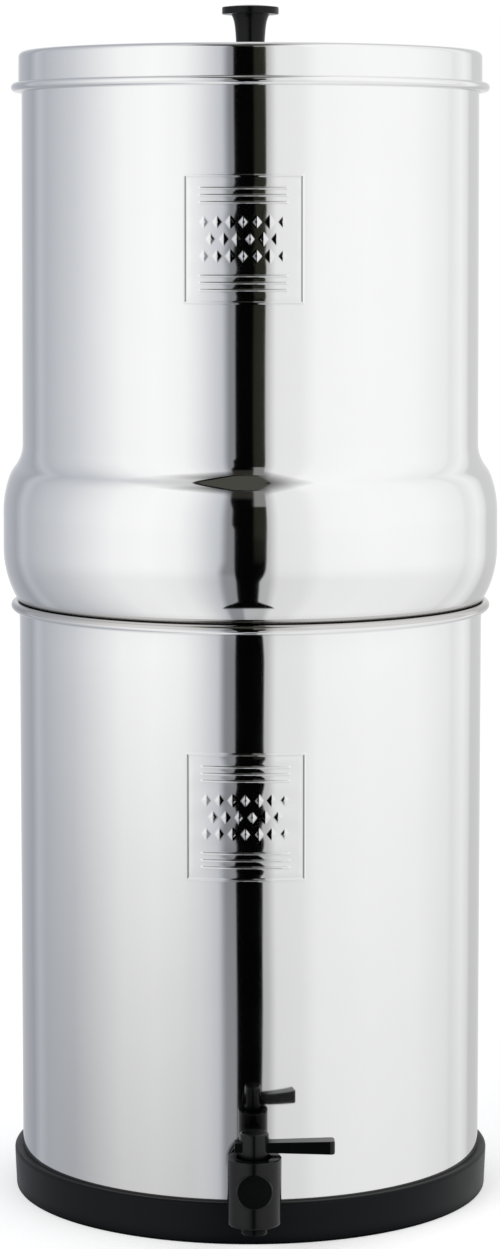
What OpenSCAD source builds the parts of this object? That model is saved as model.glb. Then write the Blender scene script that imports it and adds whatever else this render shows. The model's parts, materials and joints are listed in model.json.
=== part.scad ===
// Gravity water filter: two stacked steel chambers, four ceramic candles,
// a lift-off lid and a quarter-turn tap.
// Origin: chamber axis at floor level. +Z is up, the tap points to -Y.

/* [Upper chamber] */
// Outer radius of the straight wall
upper_r = 102.5; // [102:0.1:103]
// Thickness of the sheet steel
sheet_t = 0.7; // [0.5:0.1:1]
// Height of the floor's underside above the ground
upper_floor_z = 247; // [244:0.5:250]
// Outer radius of the bulge at its widest
bulge_r = 111.2; // [110.5:0.1:112]
// Radius of the bulge's upper and lower curves
bulge_arc_r = 45.6; // [44.5:0.1:48]
// Bottom of the straight band of the bulge
bulge_low_z = 289.3; // [287:0.1:290.5]
// Top of the straight band of the bulge
bulge_high_z = 305.7; // [303:0.1:308]
// Radius of the tighter curve between the bulge's upper curve and the hollow
bulge_knee_r = 16; // [12:0.5:20]
// Slope of the upper curve where the tighter curve takes over, in degrees
bulge_slope = 20; // [17:0.5:24]
// Radius of the hollow between wall and bulge
bulge_fillet_r = 16.6; // [14:0.2:19]
// Radius between the bulge and the floor
upper_floor_corner_r = 12; // [9:1:14]

/* [Lower chamber] */
// Outer radius of the wall at the top
lower_top_r = 104.05; // [103.5:0.05:104.4]
// Outer radius of the wall at the bottom
lower_bottom_r = 103.2; // [102.5:0.05:103.4]
// Outside radius of the floor corner
lower_corner_r = 8; // [5:1:12]
// Radius of the rolled rim's section
rim_bead_r = 2.1; // [1.8:0.1:2.4]
// Distance of the rolled rim's centre from the axis
rim_bead_centre_r = 105.7; // [105.5:0.1:106]

/* [Base ring] */
// Height of the rubber ring
ring_h = 18; // [16:0.2:26]
// Outer radius of the ring at its top
ring_top_r = 106.9; // [106.5:0.1:108]
// Outer radius of the ring at its bottom
ring_bottom_r = 106.2; // [105.5:0.05:107]
// Thickness of the shelf that carries the chamber
ring_shelf_t = 5; // [4.5:0.5:7]
// Inner radius of the shelf
ring_shelf_r = 88; // [80:1:92]

/* [Lid] */
// Height of the lid's flat top above the ground
lid_top_z = 511.3; // [505:0.1:540]
// Inner radius of the skirt just under the corner
lid_in_r = 103.15; // [103.1:0.05:104]
// Inner radius of the skirt at the rolled edge
lid_edge_r = 103.2; // [103.15:0.05:104]
// Radius of the corner's inside
lid_corner_r = 1.9; // [1.5:0.1:2.5]
// Depth from the flat top to the rolled edge's centre
lid_skirt_h = 15.95; // [14:0.05:20]
// Radius of the rolled edge's section
lid_bead_r = 2; // [1.6:0.1:2.2]

/* [Knob] */
// Height of the knob above the lid
knob_h = 21.1; // [16:0.1:26]
// Radius of the knob's top flange
knob_top_r = 12.7; // [11:0.1:15]
// Radius of the stem under the flange
knob_neck_r = 8.6; // [7.5:0.1:9.5]
// Radius of the stem at the lid
knob_foot_r = 6.1; // [5.5:0.1:7]

/* [Tap] */
// Distance of the tap's barrel axis from the chamber axis
tap_y = 143; // [136:0.5:150]
// Height of the inlet axis
tap_z = 36; // [34:0.5:38]
// Outer radius of the barrel at its top
barrel_r = 11.4; // [11:0.05:11.8]
// Height of the barrel's bottom
barrel_low_z = 19.9; // [18:0.1:21]
// Height of the barrel's top
barrel_high_z = 47.9; // [47.5:0.1:50]
// Radius of the bore that the rotor turns in
barrel_bore_r = 7.45; // [7.2:0.05:7.8]
// Running clearance between rotor and barrel
run_gap = 0.05; // [0.02:0.01:0.09]
// Radius of the inlet passage
inlet_bore_r = 4; // [3:0.5:4.5]
// Radius of the threaded stem
stem_r = 7.9; // [7.5:0.1:8.2]
// Radius of the rotor's head
head_r = 6.1; // [5.6:0.1:6.4]
// Height of the head's top
head_top_z = 58.2; // [57:0.1:62]
// Height of the spout's outlet
spout_z = 15.8; // [14:0.2:17]
// Radius of the outlet bore
outlet_r = 3.6; // [3:0.1:4]
// Length of the lever from the head's axis to its tip
lever_tip = 33.5; // [28:0.1:45]

/* [Candles] */
// Distance of the candle axes from the chamber axis
candle_ring_r = 52; // [50:1:54]
// Outer radius of a ceramic shell
candle_r = 25; // [20:1:26]
// Length of a ceramic shell
candle_len = 165; // [80:5:230]
// Wall of a ceramic shell
candle_wall = 8; // [5:1:10]
// Radius of a candle's threaded stem
candle_stem_r = 6; // [5:0.5:7]
// Length of the stem below the cap
candle_stem_len = 29; // [24:1:32]
// Radius of the bore that lets the filtered water out of a candle
candle_bore_r = 1.9; // [1.5:0.1:3]

/* [Hidden] */
$fn = 96;
arc_n = 14;                  // points on a drawn arc
touch = 0.03;                // air left between bodies that rest on each other
bore_gap = 0.02;             // air left between a screw and what it holds
eps = 0.5;                   // overrun of a cut past the face it opens

steel = [0.82, 0.83, 0.85];
black = [0.09, 0.09, 0.10];
rubber = [0.06, 0.06, 0.065];
ceramic = [0.93, 0.92, 0.88];
white = [0.93, 0.93, 0.92];

// ---- Drawing of turned sheet metal --------------------------------------

function unit(v) = v / norm(v);
function left(v) = [-v[1], v[0]];
function arc(centre, r, from, to, n = arc_n, first = 0) =
    [for (i = [first:n])
        let (a = from + (to - from) * i / n)
        centre + r * [cos(a), sin(a)]];

// The point beside point i of a line, t to its left, so that a strip of even width results
function beside(line, i, t) =
    let (before = unit(line[max(i, 1)] - line[max(i, 1) - 1]),
         after = unit(line[min(i, len(line) - 2) + 1] - line[min(i, len(line) - 2)]),
         side = unit(left(before) + left(after)))
    line[i] + side * t / (side * left(before));

// A sheet turned about Z, drawn by one of its faces, with its thickness t to the left
module spun_sheet(line, t) {
    last = len(line) - 1;
    rotate_extrude()
        polygon(concat(line, [for (i = [last:-1:0]) beside(line, i, t)]));
}

// A turned solid with its axis along -Y, starting at the distance y from the chamber axis
module along_y(y, z) {
    translate([0, -y, z])
        rotate([90, 0, 0])
            children();
}

// ---- Upper chamber ------------------------------------------------------

bulge_centre_r = bulge_r - bulge_arc_r;
knee_c = bulge_centre_r + (bulge_arc_r - bulge_knee_r) * cos(bulge_slope);
knee_z = bulge_high_z + (bulge_arc_r - bulge_knee_r) * sin(bulge_slope);
fillet_angle = acos((upper_r + bulge_fillet_r - knee_c) / (bulge_knee_r + bulge_fillet_r));
fillet_z = knee_z + (bulge_knee_r + bulge_fillet_r) * sin(fillet_angle);
floor_corner_step = bulge_arc_r - upper_floor_corner_r;
floor_corner_z = upper_floor_z + upper_floor_corner_r;
floor_corner_angle = asin((bulge_low_z - floor_corner_z) / floor_corner_step);
floor_corner_c = bulge_centre_r + floor_corner_step * cos(floor_corner_angle);

lid_under_z = lid_top_z - sheet_t;
lid_corner_c = lid_in_r - lid_corner_r;
// The mouth meets the inside of the lid's corner
mouth_z = lid_under_z - lid_corner_r - touch
        + sqrt(pow(lid_corner_r, 2) - pow(upper_r - lid_corner_c, 2));

upper_line = concat(
    [[upper_r, mouth_z]],
    arc([upper_r + bulge_fillet_r, fillet_z], bulge_fillet_r, 180, 180 + fillet_angle, 6),
    arc([knee_c, knee_z], bulge_knee_r, fillet_angle, bulge_slope, 5, first = 1),
    arc([bulge_centre_r, bulge_high_z], bulge_arc_r, bulge_slope, 0, 6, first = 1),
    arc([bulge_centre_r, bulge_low_z], bulge_arc_r, 0, -floor_corner_angle),
    arc([floor_corner_c, floor_corner_z], upper_floor_corner_r, -floor_corner_angle, -90, 6, first = 1),
    [[0, upper_floor_z]]);

upper_floor_top = upper_floor_z + sheet_t;
candle_hole_r = candle_stem_r + 0.4;

module upper_chamber() {
    color(steel)
        difference() {
            spun_sheet(upper_line, -sheet_t);
            for (n = [1:4])
                at_candle(n, upper_floor_z - eps)
                    cylinder(r = candle_hole_r, h = sheet_t + 2 * eps);
        }
}

// ---- Lower chamber ------------------------------------------------------

// The bulge's lower curve rests on the rolled rim
rim_bead_z = bulge_low_z
           - sqrt(pow(bulge_arc_r + rim_bead_r + touch, 2) - pow(rim_bead_centre_r - bulge_centre_r, 2));
rim_in_r = rim_bead_centre_r - rim_bead_r;
lower_floor_top = ring_shelf_t + sheet_t;
lower_corner_in = lower_corner_r - sheet_t;
lower_wall_high_z = rim_bead_z - 8;
lower_wall_low_z = lower_floor_top + lower_corner_in;

lower_line = concat(
    [[0, lower_floor_top]],
    arc([lower_bottom_r - sheet_t - lower_corner_in, lower_wall_low_z], lower_corner_in, -90, 0, 8),
    [[lower_top_r - sheet_t, lower_wall_high_z]],
    arc([rim_bead_centre_r, rim_bead_z], rim_bead_r, 180, -110, 20));

// Outer radius of the lower wall at the height z
function wall_r(z) =
    lower_bottom_r + (lower_top_r - lower_bottom_r) * (z - lower_wall_low_z)
    / (lower_wall_high_z - lower_wall_low_z);

module lower_chamber() {
    color(steel)
        difference() {
            spun_sheet(lower_line, -sheet_t);
            along_y(lower_bottom_r - 10, tap_z)
                cylinder(r = stem_r + 0.2, h = 20);
        }
}

// ---- Base ring ----------------------------------------------------------

ring_edge_r = 1.4;
ring_foot_edge_r = 1.2;
ring_side_gap = 0.05;

module base_ring() {
    lip_r = wall_r(ring_h) + ring_side_gap;
    seat_r = lower_bottom_r - lower_corner_r;
    color(rubber)
        rotate_extrude()
            polygon(concat(
                [[ring_shelf_r, 0]],
                arc([ring_bottom_r - ring_foot_edge_r, ring_foot_edge_r], ring_foot_edge_r, -90, 0, 4),
                arc([ring_top_r - ring_edge_r, ring_h - ring_edge_r], ring_edge_r, 0, 90, 5),
                [[lip_r, ring_h],
                 [lip_r, ring_shelf_t + lower_corner_r]],
                arc([seat_r, ring_shelf_t + lower_corner_r],
                    lower_corner_r + ring_side_gap, -4, -85, 8),
                [[seat_r, ring_shelf_t],
                 [ring_shelf_r, ring_shelf_t]]));
}

// ---- Tap ----------------------------------------------------------------

barrel_foot_r = barrel_r - 0.15;
barrel_lip_z = barrel_low_z + 2;
lip_bore_r = 5.2;
collar_r = 5.55;
boss_r = 7.6;
boss_y = tap_y + 11.4;
boss_edge = 0.6;
outer_washer_y = wall_r(tap_z) + 2.5;
outer_washer_r = 11;
flange_t = 3;
flange_r = 10.6;
neck_flare = 4;
neck_r = 8;
stem_end_y = 87;
stem_edge = 0.8;
inner_washer_y = wall_r(tap_z) - sheet_t - 3;
inner_washer_r = 12;
nut_t = 8;
nut_corner_r = 13.8;
nut_collar_r = 13.4;
nut_collar_t = 2;

// The barrel's outside, with rounded rims
module barrel_solid() {
    translate([0, -tap_y, 0])
        rotate_extrude()
            polygon(concat(
                [[0, barrel_low_z]],
                arc([barrel_foot_r - 1.2, barrel_low_z + 1.2], 1.2, -90, 0, 5),
                arc([barrel_r - 0.5, barrel_high_z - 0.5], 0.5, 0, 90, 4),
                [[0, barrel_high_z]]));
}

// The flat boss on the barrel's front, on the inlet's axis
module front_boss() {
    along_y(tap_y, tap_z)
        rotate_extrude()
            polygon(concat(
                [[0, 0],
                 [boss_r, 0]],
                arc([boss_r - boss_edge, boss_y - tap_y - boss_edge], boss_edge, 0, 90, 4),
                [[0, boss_y - tap_y]]));
}

// Neck, flange and threaded stem, from inside the barrel to inside the chamber
module inlet_solid() {
    along_y(stem_end_y, tap_z)
        union() {
            cylinder(r1 = stem_r - stem_edge, r2 = stem_r, h = stem_edge);
            translate([0, 0, stem_edge])
                cylinder(r = stem_r, h = outer_washer_y - stem_end_y - stem_edge);
            translate([0, 0, outer_washer_y - stem_end_y])
                cylinder(r = flange_r, h = flange_t);
            translate([0, 0, outer_washer_y + flange_t - stem_end_y]) {
                cylinder(r = neck_r, h = tap_y - outer_washer_y - flange_t);
                cylinder(r1 = flange_r - 0.8, r2 = neck_r, h = neck_flare);
            }
        }
}

module tap_body() {
    color(black)
        difference() {
            union() {
                barrel_solid();
                front_boss();
                inlet_solid();
            }
            translate([0, -tap_y, barrel_lip_z])
                cylinder(r = barrel_bore_r, h = barrel_high_z);
            translate([0, -tap_y, barrel_low_z - eps])
                cylinder(r = lip_bore_r, h = 2 + 2 * eps);
            along_y(stem_end_y - eps, tap_z)
                cylinder(r = inlet_bore_r, h = tap_y - stem_end_y);
        }
}

module tap_outer_washer() {
    color(rubber)
        difference() {
            along_y(wall_r(tap_z) - 4, tap_z)
                cylinder(r = outer_washer_r, h = outer_washer_y - wall_r(tap_z) + 4);
            wall_core(0);
            along_y(wall_r(tap_z) - 5, tap_z)
                cylinder(r = stem_r + bore_gap, h = 10);
        }
}

module tap_inner_washer() {
    color(rubber)
        difference() {
            intersection() {
                along_y(inner_washer_y, tap_z)
                    cylinder(r = inner_washer_r, h = 6);
                wall_core(-sheet_t);
            }
            along_y(inner_washer_y - eps, tap_z)
                cylinder(r = stem_r + bore_gap, h = 8);
        }
}

// What the lower wall encloses, with its faces moved outwards by grow
module wall_core(grow) {
    height = lower_wall_high_z - lower_wall_low_z;
    translate([0, 0, lower_wall_low_z])
        cylinder(r1 = lower_bottom_r + grow, r2 = lower_top_r + grow, h = height, $fn = 720);
}

module tap_nut() {
    nut_y = inner_washer_y - nut_t;
    color(black)
        difference() {
            along_y(nut_y, tap_z)
                union() {
                    cylinder(r = nut_corner_r, h = nut_t - nut_collar_t, $fn = 6);
                    translate([0, 0, nut_t - nut_collar_t])
                        cylinder(r = nut_collar_r, h = nut_collar_t);
                }
            along_y(nut_y - eps, tap_z)
                cylinder(r = stem_r + bore_gap, h = nut_t + 2 * eps);
        }
}

// ---- Rotor, lever and seal: the parts that turn -------------------------

plug_r = barrel_bore_r - run_gap;
plug_low_z = barrel_lip_z + 0.1;
plug_high_z = barrel_high_z - 1.2;
collar_z = barrel_low_z - 0.1;
seal_z = plug_high_z - 3.2;
seal_r = 0.9;
groove_h = 2.2;
groove_r = plug_r - 2 * seal_r;
port_r = 3.2;
port_top_z = tap_z + port_r;
outlet_len = 14.8;

module tap_rotor() {
    color(black)
        translate([0, -tap_y, 0])
            difference() {
                rotate_extrude()
                    polygon(concat(
                        [[0, spout_z],
                         [collar_r - 0.4, spout_z],
                         [collar_r, spout_z + 0.4],
                         [collar_r, collar_z],
                         [lip_bore_r - run_gap, collar_z],
                         [lip_bore_r - run_gap, plug_low_z],
                         [plug_r, plug_low_z],
                         [plug_r, seal_z - groove_h / 2],
                         [groove_r, seal_z - groove_h / 2],
                         [groove_r, seal_z + groove_h / 2],
                         [plug_r, seal_z + groove_h / 2],
                         [plug_r, plug_high_z],
                         [head_r, plug_high_z]],
                        arc([head_r - 0.8, head_top_z - 0.8], 0.8, 0, 90, 4),
                        [[0, head_top_z]]));
                translate([0, 0, spout_z - eps])
                    cylinder(r = outlet_r, h = outlet_len + eps);
                cylinder(r = port_r, h = port_top_z);
                translate([0, 0, tap_z])
                    rotate([0, -90, 0])
                        cylinder(r = port_r, h = barrel_r);
                lever_bar();
            }
}

lever_z = 52.4;
lever_stub = 8.2;
lever_w = 6;
lever_tip_w = 7.4;
lever_tip_corner = 0.8;
lever_plan_r = 2;

// Half height of the lever at its stub, beside the head and at its tip
lever_half = [1.9, 2.15, 2.75];

// The bar lies along X, its small end pushed through the head
module lever_bar() {
    side = concat(
        [[-lever_stub, -lever_half[0]],
         [head_r, -lever_half[1]]],
        arc([lever_tip - lever_tip_corner, lever_tip_corner - lever_half[2]], lever_tip_corner, -90, 0, 4),
        arc([lever_tip - lever_tip_corner, lever_half[2] - lever_tip_corner], lever_tip_corner, 0, 90, 4),
        [[head_r, lever_half[1]],
         [-lever_stub, lever_half[0]]]);
    plan = concat(
        [[-lever_stub, -lever_w / 2],
         [head_r, -lever_w / 2]],
        arc([lever_tip - lever_plan_r, lever_plan_r - lever_tip_w / 2], lever_plan_r, -90, 0, 5),
        arc([lever_tip - lever_plan_r, lever_tip_w / 2 - lever_plan_r], lever_plan_r, 0, 90, 5),
        [[head_r, lever_w / 2],
         [-lever_stub, lever_w / 2]]);
    translate([0, 0, lever_z])
        intersection() {
            translate([0, lever_tip_w, 0])
                rotate([90, 0, 0])
                    linear_extrude(2 * lever_tip_w)
                        polygon(side);
            translate([0, 0, -lever_tip_w])
                linear_extrude(2 * lever_tip_w)
                    polygon(plan);
        }
}

module tap_lever() {
    color(black)
        translate([0, -tap_y, 0])
            lever_bar();
}

module rotor_seal() {
    color(rubber)
        translate([0, -tap_y, seal_z])
            rotate_extrude()
                translate([plug_r - seal_r + 0.02, 0])
                    circle(r = seal_r);
}

// ---- Candles ------------------------------------------------------------

washer_t = 3;
cap_z = upper_floor_top + washer_t;
cap_h = 12;
cap_floor = 4.3;
cap_wall = 1.6;
glue_gap = 0.05;
shell_z = cap_z + cap_floor;
stem_low_z = cap_z - candle_stem_len;

module at_candle(n, z) {
    rotate([0, 0, 90 * n - 45])
        translate([candle_ring_r, 0, z])
            children();
}

module candle_shell(n) {
    color(ceramic)
        at_candle(n, shell_z)
            rotate_extrude()
                intersection() {
                    difference() {
                        candle_outline(candle_r);
                        candle_outline(candle_r - candle_wall);
                    }
                    square([candle_r + 1, candle_len + 1]);
                }
}

// A tube with a domed end, to be turned about Z
module candle_outline(r) {
    dome_z = candle_len - candle_r;
    translate([0, -eps])
        square([r, dome_z + eps]);
    translate([0, dome_z])
        circle(r = r);
}

module candle_base(n) {
    rim_r = candle_r + glue_gap + cap_wall;
    color(white)
        at_candle(n, 0)
            difference() {
                union() {
                    rotate_extrude()
                        polygon([[0, cap_z], [rim_r - 1, cap_z], [rim_r, cap_z + 1],
                                 [rim_r, cap_z + cap_h], [0, cap_z + cap_h]]);
                    translate([0, 0, stem_low_z])
                        cylinder(r = candle_stem_r, h = candle_stem_len + 1);
                }
                translate([0, 0, shell_z])
                    cylinder(r = candle_r + glue_gap, h = cap_h);
                translate([0, 0, stem_low_z - eps])
                    cylinder(r = candle_bore_r, h = candle_len);
            }
}

module candle_washer(n) {
    color(rubber)
        at_candle(n, upper_floor_top)
            difference() {
                cylinder(r = 15, h = washer_t);
                translate([0, 0, -eps])
                    cylinder(r = candle_stem_r + bore_gap, h = washer_t + 2 * eps);
            }
}

wing_hub_r = 9.5;
wing_hub_h = 9;
wing_t = 3;
wing_reach = 21;
wing_drop = 15;
wing_round = 5;

module wing_nut(n) {
    color(white)
        at_candle(n, upper_floor_z)
            rotate([0, 0, 45])
                difference() {
                    union() {
                        translate([0, 0, -wing_hub_h])
                            cylinder(r1 = wing_hub_r - 1, r2 = wing_hub_r, h = wing_hub_h);
                        for (a = [0, 180])
                            rotate([0, 0, a])
                                wing_blade();
                    }
                    translate([0, 0, -wing_drop - eps])
                        cylinder(r = candle_stem_r + bore_gap, h = wing_drop + 2 * eps);
                }
}

// One wing: it rises beside the hub and hangs below it at its tip
module wing_blade() {
    translate([0, wing_t / 2, 0])
        rotate([90, 0, 0])
            linear_extrude(wing_t)
                polygon(concat(
                    [[candle_stem_r + 1, -1],
                     [candle_stem_r + 1, -wing_hub_h]],
                    arc([wing_reach - wing_round, wing_round - wing_drop], wing_round, -110, 45, 8)));
}

// ---- Lid ----------------------------------------------------------------

lid_bead_z = lid_top_z - lid_skirt_h;
knob_flange_t = 3.3;
knob_dome_h = 0.9;
knob_edge = 0.5;
screw_r = 2;
screw_len = 12;
screw_head_r = 4;
screw_head_h = 2.4;
lid_washer_r = 6;
lid_washer_t = 0.8;

lid_line = concat(
    [[0, lid_under_z]],
    arc([lid_corner_c, lid_under_z - lid_corner_r], lid_corner_r, 90, 0, 6),
    arc([lid_edge_r + lid_bead_r, lid_bead_z], lid_bead_r, 180, 455, 20));

module lid_shell() {
    color(steel)
        difference() {
            spun_sheet(lid_line, sheet_t);
            translate([0, 0, lid_under_z - eps])
                cylinder(r = screw_r + 0.3, h = sheet_t + 2 * eps);
        }
}

// The stem flares in a long hollow curve up to the flat flange
module lid_knob() {
    flange_z = knob_h - knob_dome_h - knob_flange_t;
    flare = knob_neck_r - knob_foot_r;
    color(black)
        translate([0, 0, lid_top_z])
            difference() {
                rotate_extrude()
                    polygon(concat(
                        [[0, 0]],
                        [for (i = [0:12]) [knob_foot_r + flare * (0.45 * i / 12 + 0.55 * pow(i / 12, 7)),
                                           flange_z * i / 12]],
                        arc([knob_top_r - knob_edge, flange_z + knob_edge], knob_edge, -90, 0, 3),
                        arc([knob_top_r - knob_edge, flange_z + knob_flange_t - knob_edge],
                            knob_edge, 0, 70, 3),
                        [for (i = [5:-1:0]) [(knob_top_r - 1) * i / 6,
                                             knob_h - knob_dome_h * pow(i / 6, 2)]]));
                translate([0, 0, -eps])
                    cylinder(r = screw_r + bore_gap, h = screw_len + eps);
            }
}

module lid_screw() {
    color(steel)
        translate([0, 0, lid_under_z - lid_washer_t])
            union() {
                cylinder(r = screw_r, h = screw_len);
                rotate_extrude()
                    polygon([[0, -screw_head_h], [screw_head_r * 0.7, -screw_head_h],
                             [screw_head_r, -screw_head_h / 2], [screw_head_r, 0], [0, 0]]);
            }
}

module lid_washer() {
    color(steel)
        translate([0, 0, lid_under_z - lid_washer_t])
            difference() {
                cylinder(r = lid_washer_r, h = lid_washer_t);
                translate([0, 0, -eps])
                    cylinder(r = screw_r + bore_gap, h = lid_washer_t + 2 * eps);
            }
}

// ---- Nodes --------------------------------------------------------------

lower_chamber();
base_ring();
tap_body();
tap_outer_washer();
tap_inner_washer();
tap_nut();
tap_rotor();
tap_lever();
rotor_seal();
upper_chamber();
candle_shell(1);  // candle_shell_1
candle_shell(2);  // candle_shell_2
candle_shell(3);  // candle_shell_3
candle_shell(4);  // candle_shell_4
candle_base(1);  // candle_base_1
candle_base(2);  // candle_base_2
candle_base(3);  // candle_base_3
candle_base(4);  // candle_base_4
candle_washer(1);  // candle_washer_1
candle_washer(2);  // candle_washer_2
candle_washer(3);  // candle_washer_3
candle_washer(4);  // candle_washer_4
wing_nut(1);  // wing_nut_1
wing_nut(2);  // wing_nut_2
wing_nut(3);  // wing_nut_3
wing_nut(4);  // wing_nut_4
lid_shell();
lid_knob();
lid_screw();
lid_washer();
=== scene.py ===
"""Looks, studio and camera for a stainless steel gravity water filter with a tap.

Lengths are in metres. A name that ends in _mm or _MM holds millimetres, and one that ends in
_deg or _DEG holds degrees.
"""
import json
import math

import bmesh
import bpy
import numpy as np
from mathutils import Matrix, Vector


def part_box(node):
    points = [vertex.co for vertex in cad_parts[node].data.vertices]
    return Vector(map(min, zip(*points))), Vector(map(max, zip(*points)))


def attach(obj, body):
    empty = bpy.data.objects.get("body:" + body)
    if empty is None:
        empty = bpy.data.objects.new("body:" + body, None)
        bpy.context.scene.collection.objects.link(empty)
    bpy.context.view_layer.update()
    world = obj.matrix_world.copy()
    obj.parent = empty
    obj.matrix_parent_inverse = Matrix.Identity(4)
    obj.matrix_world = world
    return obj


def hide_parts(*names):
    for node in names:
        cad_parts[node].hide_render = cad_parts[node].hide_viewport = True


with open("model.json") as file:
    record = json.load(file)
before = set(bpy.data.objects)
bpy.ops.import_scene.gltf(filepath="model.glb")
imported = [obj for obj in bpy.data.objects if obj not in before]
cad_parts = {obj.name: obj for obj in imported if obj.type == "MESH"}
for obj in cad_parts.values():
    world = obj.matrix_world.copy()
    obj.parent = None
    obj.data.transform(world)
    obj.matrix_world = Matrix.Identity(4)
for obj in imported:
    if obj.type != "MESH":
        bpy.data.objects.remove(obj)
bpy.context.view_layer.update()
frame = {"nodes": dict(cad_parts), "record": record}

MM = 0.001
CANDLES = (1, 2, 3, 4)

# Sizes of the solids, as the frame holds them
SHEET_MM = 0.7
REST_GAP_MM = 0.03
UPPER_R_MM = 102.5
UPPER_FLOOR_MM = 247.0
UPPER_MOUTH_MM = 510.1
BULGE_R_MM = 111.2
BULGE_ARC_MM = 45.6
BULGE_LOW_MM = 289.3
BULGE_HIGH_MM = 305.7
BULGE_KNEE_MM = 16.0
BULGE_SLOPE_DEG = 20.0
BULGE_FILLET_MM = 16.6
FLOOR_CORNER_MM = 12.0
LOWER_TOP_R_MM = 104.05
LOWER_BOTTOM_R_MM = 103.2
LOWER_FLOOR_MM = 5.7
LOWER_CORNER_MM = 7.3
RIM_TAPER_MM = 8.0
RIM_BEAD_MM = 2.1
RIM_CENTRE_MM = 105.7
RIM_ROLL_DEG = (180, -110)
LID_TOP_MM = 511.3
LID_IN_R_MM = 103.15
LID_EDGE_R_MM = 103.2
LID_CORNER_MM = 1.9
LID_SKIRT_MM = 15.95
LID_BEAD_MM = 2.0
LID_ROLL_DEG = (180, 455)
LID_HOLE_R_MM = 2.3
TAP_Z_MM = 36.0
STEM_R_MM = 7.9
STEM_HOLE_GAP_MM = 0.2
CANDLE_RING_MM = 52.0
CANDLE_STEM_MM = 6.0
CANDLE_HOLE_GAP_MM = 0.4


# ---- Profiles ------------------------------------------------------------

def arc(centre_r, centre_z, radius, start_deg, end_deg, step_deg=3.0):
    """Points of an arc in the profile plane, as (radius, height) in millimetres."""
    count = max(2, math.ceil(abs(end_deg - start_deg) / step_deg))
    turns = np.radians(np.linspace(start_deg, end_deg, count + 1))
    return [(centre_r + radius * math.cos(t), centre_z + radius * math.sin(t)) for t in turns]


def without_repeats(line, nearest_mm=1e-4):
    """The line without points that fall on the one before."""
    kept = [line[0]]
    for point in line[1:]:
        if math.dist(point, kept[-1]) > nearest_mm:
            kept.append(point)
    return kept


def fine(line, longest_mm):
    """The line with its long stretches cut into even steps."""
    points = [line[0]]
    for before, after in zip(line, line[1:]):
        count = max(1, math.ceil(math.dist(before, after) / longest_mm))
        way = np.subtract(after, before)
        points += [tuple(np.add(before, way * i / count)) for i in range(1, count + 1)]
    return points


def beside(line, thickness_mm):
    """The line moved to its left by a sheet's thickness."""
    points = np.array(line)
    along = np.diff(points, axis=0)
    along /= np.linalg.norm(along, axis=1)[:, None]
    left = np.stack([-along[:, 1], along[:, 0]], axis=1)
    before = np.vstack([left[:1], left])
    after = np.vstack([left, left[-1:]])
    side = before + after
    side /= np.linalg.norm(side, axis=1)[:, None]
    reach = thickness_mm / np.sum(side * before, axis=1)
    return [tuple(p) for p in points + side * reach[:, None]]


def sheet_profile(line, thickness_mm):
    """A closed profile: one face of a sheet, and back along its other face."""
    return line + beside(line, thickness_mm)[::-1]


def upper_line():
    """Outside of the upper chamber, from its mouth to the middle of its floor."""
    bulge_r = BULGE_R_MM - BULGE_ARC_MM
    slope = math.radians(BULGE_SLOPE_DEG)
    knee_r = bulge_r + (BULGE_ARC_MM - BULGE_KNEE_MM) * math.cos(slope)
    knee_z = BULGE_HIGH_MM + (BULGE_ARC_MM - BULGE_KNEE_MM) * math.sin(slope)
    reach = BULGE_KNEE_MM + BULGE_FILLET_MM
    fillet_deg = math.degrees(math.acos((UPPER_R_MM + BULGE_FILLET_MM - knee_r) / reach))
    fillet_z = knee_z + reach * math.sin(math.radians(fillet_deg))
    step_in = BULGE_ARC_MM - FLOOR_CORNER_MM
    corner_z = UPPER_FLOOR_MM + FLOOR_CORNER_MM
    corner_deg = math.degrees(math.asin((BULGE_LOW_MM - corner_z) / step_in))
    corner_r = bulge_r + step_in * math.cos(math.radians(corner_deg))
    return without_repeats(
        [(UPPER_R_MM, UPPER_MOUTH_MM)]
        + arc(UPPER_R_MM + BULGE_FILLET_MM, fillet_z, BULGE_FILLET_MM, 180, 180 + fillet_deg)
        + arc(knee_r, knee_z, BULGE_KNEE_MM, fillet_deg, BULGE_SLOPE_DEG)
        + arc(bulge_r, BULGE_HIGH_MM, BULGE_ARC_MM, BULGE_SLOPE_DEG, 0)
        + arc(bulge_r, BULGE_LOW_MM, BULGE_ARC_MM, 0, -corner_deg)
        + arc(corner_r, corner_z, FLOOR_CORNER_MM, -corner_deg, -90)
        + [(0.0, UPPER_FLOOR_MM)])


def rim_z():
    """Height of the rolled rim's centre: the bulge's lower curve rests on it."""
    across = RIM_CENTRE_MM - (BULGE_R_MM - BULGE_ARC_MM)
    reach = BULGE_ARC_MM + RIM_BEAD_MM + REST_GAP_MM
    return BULGE_LOW_MM - math.sqrt(reach ** 2 - across ** 2)


def lower_line():
    """Inside of the lower chamber, from the middle of its floor over the rolled rim."""
    wall_low = LOWER_FLOOR_MM + LOWER_CORNER_MM
    corner_r = LOWER_BOTTOM_R_MM - SHEET_MM - LOWER_CORNER_MM
    return without_repeats(
        [(0.0, LOWER_FLOOR_MM)]
        + arc(corner_r, wall_low, LOWER_CORNER_MM, -90, 0, step_deg=6)
        + [(LOWER_TOP_R_MM - SHEET_MM, rim_z() - RIM_TAPER_MM)]
        + arc(RIM_CENTRE_MM, rim_z(), RIM_BEAD_MM, *RIM_ROLL_DEG, step_deg=10))


def lid_line():
    """Inside of the lid, from its middle down the skirt and round the rolled edge."""
    under = LID_TOP_MM - SHEET_MM
    edge_r = LID_EDGE_R_MM + LID_BEAD_MM
    return without_repeats(
        [(0.0, under)]
        + arc(LID_IN_R_MM - LID_CORNER_MM, under - LID_CORNER_MM, LID_CORNER_MM, 90, 0, step_deg=9)
        + arc(edge_r, LID_TOP_MM - LID_SKIRT_MM, LID_BEAD_MM, *LID_ROLL_DEG, step_deg=11))


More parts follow.
